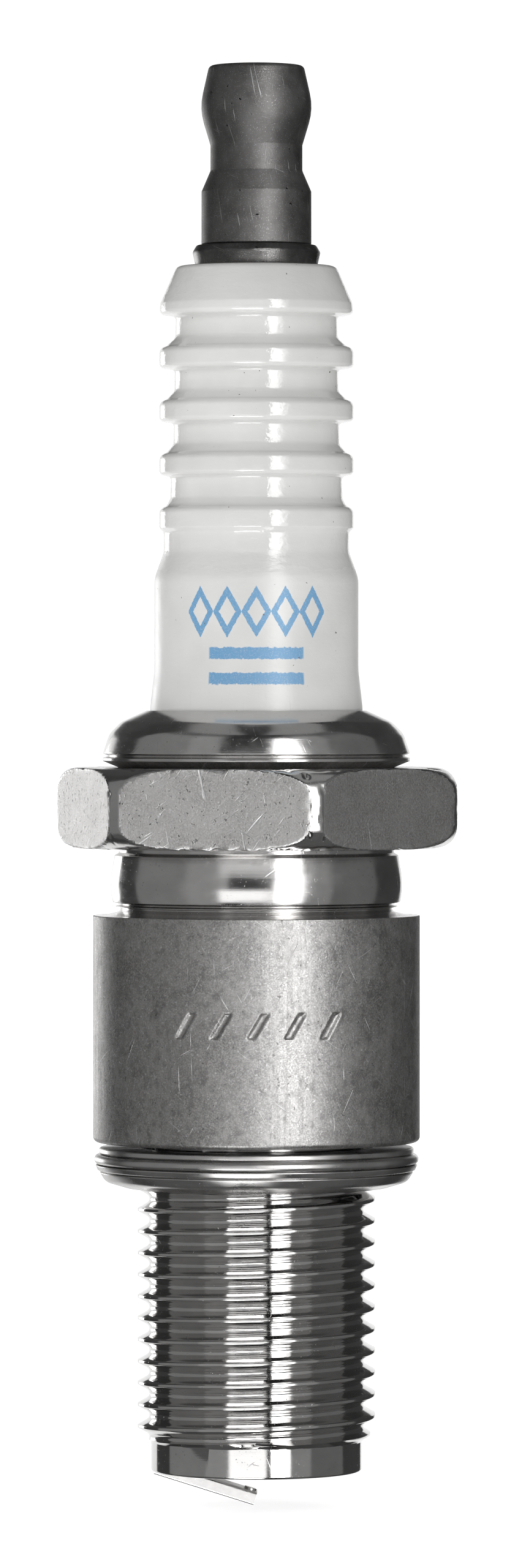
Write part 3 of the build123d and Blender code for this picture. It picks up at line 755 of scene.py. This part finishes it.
def thread_form_r(away):
    """Radius of the thread form at a height away from the groove's middle."""
    away = np.abs(np.mod(away + PITCH / 2, PITCH) - PITCH / 2)
    root = APEX_R + 2 * ROOT_ROUND - np.sqrt(np.maximum(ROOT_ROUND**2 - away**2, 0))
    flank = APEX_R + away / FLANK
    form = np.where(away < ROOT_ROUND * cos(radians(30)), root, flank)
    return soft_min(form, THREAD_R + 0 * form, 0.03)


def stock_r(height):
    """Radius of the bar before threading, with its chamfers."""
    top = NECK_R + np.clip((TOP_CHAMFER - height) / 0.2, 0, 1) * (THREAD_R - NECK_R)
    bottom = PILOT_R + np.clip((height - BOTTOM_CHAMFER) / 0.5, 0, 1) * (THREAD_R - PILOT_R)
    return np.where(height > -10, top, bottom)


turns = int((HELIX_HIGH - HELIX_LOW) / PITCH) + 3
start = THREAD_PHASE - PITCH * (int((THREAD_PHASE - HELIX_LOW) / PITCH) + 3)
levels = np.array([start + PITCH * turn + offset for turn in range(turns + 1) for offset in OFFSETS])
climb = thread_angles / (2 * pi) * PITCH
height = np.clip(levels[:, None] + climb[None, :], HELIX_LOW, HELIX_HIGH)
stock = stock_r(height)
form = soft_min(thread_form_r(height - climb[None, :] - THREAD_PHASE), stock, 0.02)
run_out = np.clip(np.minimum(height - HELIX_LOW, HELIX_HIGH - height) / 0.06, 0, 1)
form = np.minimum(stock + (form - stock) * run_out, stock)
helix = np.stack([form * np.cos(thread_angles), form * np.sin(thread_angles), height], axis=-1)

over = around(rounded([
    (LOWER_BORE_R, INNER_JOIN),
    (LOWER_BORE_R, NECK_TOP),
    (NECK_R, NECK_TOP),
    (NECK_R, HELIX_HIGH),
]), thread_angles)[::-1]
under = around(rounded([
    (PILOT_R, HELIX_LOW),
    (PILOT_R, shell_end, 0.15),
    (MOUTH_R, shell_end, 0.12),
    (MOUTH_R, -11.9),
    (LEDGE_R, -11.4, 0.1),
    (LEDGE_R, -9.84, 0.05),
    (LOWER_BORE_R, -9.1),
    (LOWER_BORE_R, INNER_JOIN),
]), thread_angles)[::-1]
points, faces = [], []
for sheet, sheet_climb in ((helix, len(OFFSETS)), (over, 0), (under, 0)):
    faces += sheet_faces(*sheet.shape[:2], first=len(points), climb=sheet_climb).tolist()
    points += (sheet.reshape(-1, 3) * MM).tolist()
mesh = bpy.data.meshes.new("shell_thread_rolled")
mesh.from_pydata(points, [], faces)
thread_plate = bright_plate("thread_bright_plate", radius=6.5, base=0.62, rough=0.08, grain=0.0025)
shell_thread = finish_mesh(mesh, "shell_thread_rolled", "plug", [thread_plate], 42)
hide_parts("metal_shell")

# ---------------------------------------------------------------- gasket
GASKET_BORE_R = 6.6
GASKET_TOP_R, LOBE_R, CREASE_R = 9.08, 9.36, 8.7

gasket_top = highest("gasket")
gasket_foot = lowest("gasket") - gasket_top
gasket_profile = rounded([  # heights from the gasket's top
    (6.8, 0, 0.1),
    (GASKET_TOP_R, 0, 0.14),
    (GASKET_TOP_R, -0.34, 0.1),
    (CREASE_R, -0.38, 0.01),
    (LOBE_R, -0.42, 0.26),
    (LOBE_R, -0.95, 0.26),
    (CREASE_R, -0.98, 0.01),
    (9.3, -1.0, 0.05),
    (9.16, -1.32, 0.1),
    (8.9, -1.36, 0.01),
    (9.05, -1.44, 0.06),
    (8.72, -1.98, 0.6),
    (7.6, gasket_foot, 0.5),
    (6.98, gasket_foot, 0.1),
    (GASKET_BORE_R, gasket_foot + 0.33, 0.1),
    (GASKET_BORE_R, -1.6, 0.1),
    (7.0, -1.6, 0.1),
    (7.15, -1.98, 0.2),
    (8.2, -1.83, 0.3),
    (8.5, -1.28, 0.2),
    (GASKET_BORE_R, -1.23, 0.1),
    (GASKET_BORE_R, -0.2, 0.1),
], closed=True)
gasket_profile[:, 1] += gasket_top
gasket_plate = bright_plate("gasket_zinc_plate", radius=9.0, base=0.60, rough=0.26, grain=0.003)
gasket = mesh_from_rows("gasket_folded", "gasket",
                        around(gasket_profile, even_angles(256)), [gasket_plate], sharp=45)
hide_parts("gasket")

# ---------------------------------------------------------------- CAD pieces that stay, with their finishes
glass = mineral("fused_glass", (0.10, 0.09, 0.08), 0.25, 3.0)
packing_steel = plain_metal("packing_steel", (0.4, 0.4, 0.4), 0.4, 6.0, 0.006)
nickel_alloy = plain_metal("electrode_nickel_alloy", (0.45, 0.43, 0.40), 0.34, 8.0, 0.004)
finishes = {
    "terminal_stud": terminal_steel("stud_dark_steel", 0.16, 0.32),
    "upper_glass_seal": glass,
    "resistor_core": mineral("resistor_mass", (0.05, 0.05, 0.055), 0.7, 4.0),
    "lower_glass_seal": glass,
    "centre_electrode_sheath": nickel_alloy,
    "centre_electrode_copper_core": plain_metal("copper_core", (0.72, 0.38, 0.24), 0.3, 6.0, 0.004),
    "iridium_tip": plain_metal("iridium_wire", (0.66, 0.66, 0.68), 0.22, 20.0, 0.002),
    "tip_weld_bead": plain_metal("weld_bead", (0.42, 0.40, 0.38), 0.28, 12.0, 0.01, 0.3),
    "ground_electrode": plain_metal("ground_strap_alloy", (0.88, 0.87, 0.86), 0.34, 7.0, 0.005, 0.06),
    "ground_electrode_pad": plain_metal("platinum_pad", (0.74, 0.73, 0.71), 0.24, 14.0, 0.003),
    "upper_wire_ring": packing_steel,
    "talc_packing": mineral("pressed_talc", (0.62, 0.61, 0.58), 0.8, 3.0),
    "lower_wire_ring": packing_steel,
    "seat_washer": packing_steel,
}
for name, material in finishes.items():
    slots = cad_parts[name].data.materials
    if not slots:
        slots.append(material)
    for place in range(len(slots)):
        slots[place] = material

# ---------------------------------------------------------------- stage, in metres
WHITE, BLACK = (1, 1, 1, 1), (0, 0, 0, 1)
CARD_STEP = 5  # degrees of a curved card's facets
CARD_REACH, WALL_REACH = 0.72, 0.78
WALL_LOW, WALL_HIGH, WALL_TOP = -28, 50, 62
CEILING_HALF = 1.2


def stage_card(name, points, faces, level, diffuse=True):
    """A soft light source that the camera doesn't see. Its strength is the same all over."""
    glow = Graph(name, Base_Color=BLACK, Roughness=1.0, Specular_IOR_Level=0.0,
                 Emission_Color=WHITE, Emission_Strength=level)
    mesh = bpy.data.meshes.new(name)
    mesh.from_pydata(points, [], faces)
    mesh.materials.append(glow.material)
    made = bpy.data.objects.new(name, mesh)
    bpy.context.scene.collection.objects.link(made)
    made.visible_camera = False
    made.visible_shadow = False
    made.visible_diffuse = diffuse


def card(name, left, right, bottom, top, level, reach=CARD_REACH, diffuse=True):
    """A curved studio card round the plug. Angles in degrees: left and right are azimuths from
    the camera's side towards +X, bottom and top are elevations."""
    count = max(2, int((right - left) / CARD_STEP) + 1)
    points = []
    for elevation in (bottom, top):
        for k in range(count + 1):
            azimuth = radians(left + (right - left) * k / count)
            points.append((reach * sin(azimuth), -reach * cos(azimuth), reach * tan(radians(elevation))))
    faces = [(k, k + 1, count + 2 + k, count + 1 + k) for k in range(count)]
    stage_card(name, points, faces, level, diffuse)


def disc(name, height, level, left=-CEILING_HALF, right=CEILING_HALF):
    """A flat card above or below the plug, from left to right."""
    points = [(left, -CEILING_HALF, height), (right, -CEILING_HALF, height),
              (right, CEILING_HALF, height), (left, CEILING_HALF, height)]
    stage_card(name, points, [(0, 1, 2, 3)], level)


# Walls: name, left and right azimuth, level, and the level of their lowest and highest bands
WALLS = (("left_dark", -141, -110, 0.055, 0.055), ("left_grey", -110, -58, 0.25, 0.12),
         ("left_pale", -58, -30, 0.36, 0.14), ("front_dark", -30, 33, 0.03, 0.03),
         ("right_pale", 33, 62, 0.32, 0.14), ("right_grey", 62, 110, 0.165, 0.12),
         ("right_dark", 110, 160, 0.055, 0.055))
for name, left, right, level, far_level in WALLS:
    card("card_" + name, left, right, WALL_LOW, WALL_HIGH, level, WALL_REACH)
    card("card_" + name + "_low", left, right, -WALL_TOP, WALL_LOW, far_level, WALL_REACH)
    card("card_" + name + "_high", left, right, WALL_HIGH, WALL_TOP, far_level, WALL_REACH)
card("card_back_high", 160, 219, 14, WALL_TOP, 0.07, WALL_REACH)
card("card_back_left", 203, 219, -6, 8, 4.0, WALL_REACH)

# Panels at the front. The strong ones show only in reflections, or they would burn out the ceramic.
card("panel_upper", -30, 11, 15, 30, 0.95)
card("panel_middle", -22, 11, -3.4, 15, 0.09)
card("panel_middle_left", -30, -22, -3.4, 15, 0.5)
card("panel_lower", -30, 11, -20, -3.4, 1.8)
card("panel_floor", -34, 9, -60, -34, 8.0, diffuse=False)
card("panel_strip", 17, 31, -22, 40, 7.5, diffuse=False)
card("panel_strip_edge", 31, 37, -22, 36, 3.0, diffuse=False)

ceiling = WALL_REACH * tan(radians(WALL_TOP))
disc("card_ceiling_left", ceiling, 0.30, right=-0.2)
disc("card_ceiling", ceiling, 0.04, left=-0.2, right=0.16)
disc("card_ceiling_right", ceiling, 0.32, left=0.16)
disc("card_below", -ceiling, 0.12)

FLOOR_GAP, FLOOR_HALF = 0.0002, 2.5
floor_look = Graph("floor_pale", Base_Color=(0.9, 0.9, 0.9, 1), Roughness=0.9, Specular_IOR_Level=0.1,
                   Emission_Color=WHITE, Emission_Strength=0.75)
cloudy = floor_look.noise(floor_look.place(), 0.01, 3.0)
floor_look.use(Roughness=floor_look.ramp(cloudy, 0.3, 0.7, 0.85, 0.95))
floor_mesh = bpy.data.meshes.new("floor")
floor_corners = ((-1, -1), (1, -1), (1, 1), (-1, 1))
floor_mesh.from_pydata([(x * FLOOR_HALF, y * FLOOR_HALF, cad_low.z - FLOOR_GAP) for x, y in floor_corners],
                       [], [(0, 1, 2, 3)])
floor_mesh.materials.append(floor_look.material)
floor = bpy.data.objects.new("floor", floor_mesh)
bpy.context.scene.collection.objects.link(floor)
floor.visible_glossy = False  # the plated steel shows the studio cards below it, not the floor

world = bpy.data.worlds.new("white_room")
world.use_nodes = True
background = world.node_tree.nodes["Background"]
background.inputs["Color"].default_value = WHITE
background.inputs["Strength"].default_value = 1.05
bpy.context.scene.world = world

LAMP_DISTANCE, LAMP_AIM = 0.65, Vector((0, 0, 0.02))


def lamp(name, azimuth, elevation, size, power):
    """A soft lamp that lights the ceramic and doesn't show in the plated steel."""
    data = bpy.data.lights.new(name, "AREA")
    data.size = size
    data.energy = power
    made = bpy.data.objects.new(name, data)
    a, e = radians(azimuth), radians(elevation)
    made.location = (LAMP_DISTANCE * sin(a) * cos(e), -LAMP_DISTANCE * cos(a) * cos(e),
                     LAMP_AIM.z + LAMP_DISTANCE * sin(e))
    made.rotation_mode = "QUATERNION"
    made.rotation_quaternion = (LAMP_AIM - made.location).to_track_quat("-Z", "Y")
    made.visible_glossy = False
    bpy.context.scene.collection.objects.link(made)


lamp("lamp_front", -8, 12, 0.5, 1.4)
lamp("lamp_left", -70, 20, 0.4, 0.5)
lamp("lamp_right", 70, 20, 0.4, 0.5)
lamp("lamp_back", 180, 25, 0.5, 1.2)

# ---------------------------------------------------------------- camera
CAMERA_AWAY, EYE_LEVEL = 0.4965, 0.0268
AIM = Vector((0.000265, 0.0, 0.02064))
LENS, SENSOR = 197.6, 36.0  # millimetres

camera_data = bpy.data.cameras.new("camera")
camera_data.sensor_width = SENSOR
camera_data.lens = LENS
camera_data.clip_start = 0.01
camera_data.clip_end = 20.0
camera = bpy.data.objects.new("camera", camera_data)
camera.location = (AIM.x, -CAMERA_AWAY, EYE_LEVEL)
camera.rotation_mode = "QUATERNION"
camera.rotation_quaternion = (AIM - camera.location).to_track_quat("-Z", "Y")
bpy.context.scene.collection.objects.link(camera)
bpy.context.scene.camera = camera
bpy.context.scene.view_settings.view_transform = "Standard"
